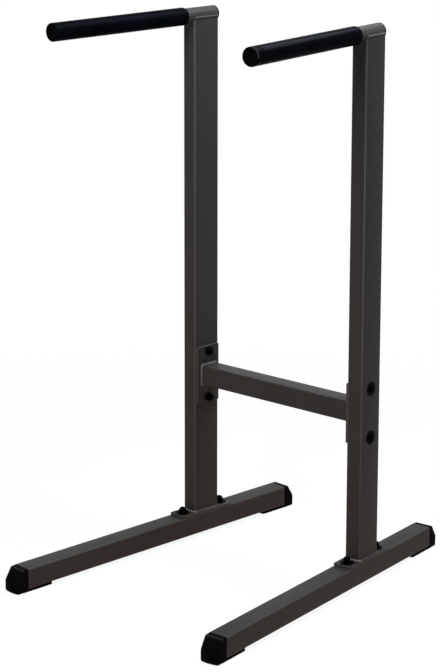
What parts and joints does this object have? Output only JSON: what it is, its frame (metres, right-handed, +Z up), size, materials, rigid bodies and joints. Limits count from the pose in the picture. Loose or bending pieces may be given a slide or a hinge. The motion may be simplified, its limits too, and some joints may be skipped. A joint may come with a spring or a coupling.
{
  "type": "dip station",
  "caption": "Free-standing dip station: splayed steel T-frames with padded parallel handles on top, bolted to long capped feet and joined by a low flanged crossbar.",
  "frame": {"origin": "on the floor, at the middle of the footprint's length and width", "axes": "+Z up along the uprights; the handles and the long arms of the feet point along -Y, the front; +X to the right as seen from the front side looking along +Y; the stand is mirror symmetric about X = 0"},
  "size_m": [0.6698, 0.9322, 1.3445],
  "materials": {
    "frame_paint": "fine-textured dark gunmetal powder coat, satin",
    "grip_vinyl": "smooth satin black grip sleeve",
    "cap_rubber": "moulded black rubber, dull",
    "plug_plastic": "moulded black plastic, matt",
    "black_steel": "black coated steel, satin"
  },
  "bodies": {
    "root": {"left_foot_tube": "frame_paint", "left_base_plate": "frame_paint", "left_upright_tube": "frame_paint", "left_handle_tube": "frame_paint", "left_grip": "grip_vinyl", "left_handle_front_plug": "plug_plastic", "left_handle_rear_plug": "plug_plastic", "left_foot_front_cap": "cap_rubber", "left_foot_rear_cap": "cap_rubber", "left_crossbar_flange": "frame_paint", "left_base_bolt_front": "black_steel", "left_base_washer_front": "black_steel", "left_base_cap_nut_front": "black_steel", "left_base_bolt_rear": "black_steel", "left_base_washer_rear": "black_steel", "left_base_cap_nut_rear": "black_steel", "left_flange_bolt_upper": "black_steel", "left_outer_washer_upper": "black_steel", "left_inner_washer_upper": "black_steel", "left_flange_nut_upper": "black_steel", "left_flange_bolt_lower": "black_steel", "left_outer_washer_lower": "black_steel", "left_inner_washer_lower": "black_steel", "left_flange_nut_lower": "black_steel", "right_foot_tube": "frame_paint", "right_base_plate": "frame_paint", "right_upright_tube": "frame_paint", "right_handle_tube": "frame_paint", "right_grip": "grip_vinyl", "right_handle_front_plug": "plug_plastic", "right_handle_rear_plug": "plug_plastic", "right_foot_front_cap": "cap_rubber", "right_foot_rear_cap": "cap_rubber", "right_crossbar_flange": "frame_paint", "right_base_bolt_front": "black_steel", "right_base_washer_front": "black_steel", "right_base_cap_nut_front": "black_steel", "right_base_bolt_rear": "black_steel", "right_base_washer_rear": "black_steel", "right_base_cap_nut_rear": "black_steel", "right_flange_bolt_upper": "black_steel", "right_outer_washer_upper": "black_steel", "right_inner_washer_upper": "black_steel", "right_flange_nut_upper": "black_steel", "right_flange_bolt_lower": "black_steel", "right_outer_washer_lower": "black_steel", "right_inner_washer_lower": "black_steel", "right_flange_nut_lower": "black_steel", "crossbar_tube": "frame_paint"}
  },
  "joints": []
}
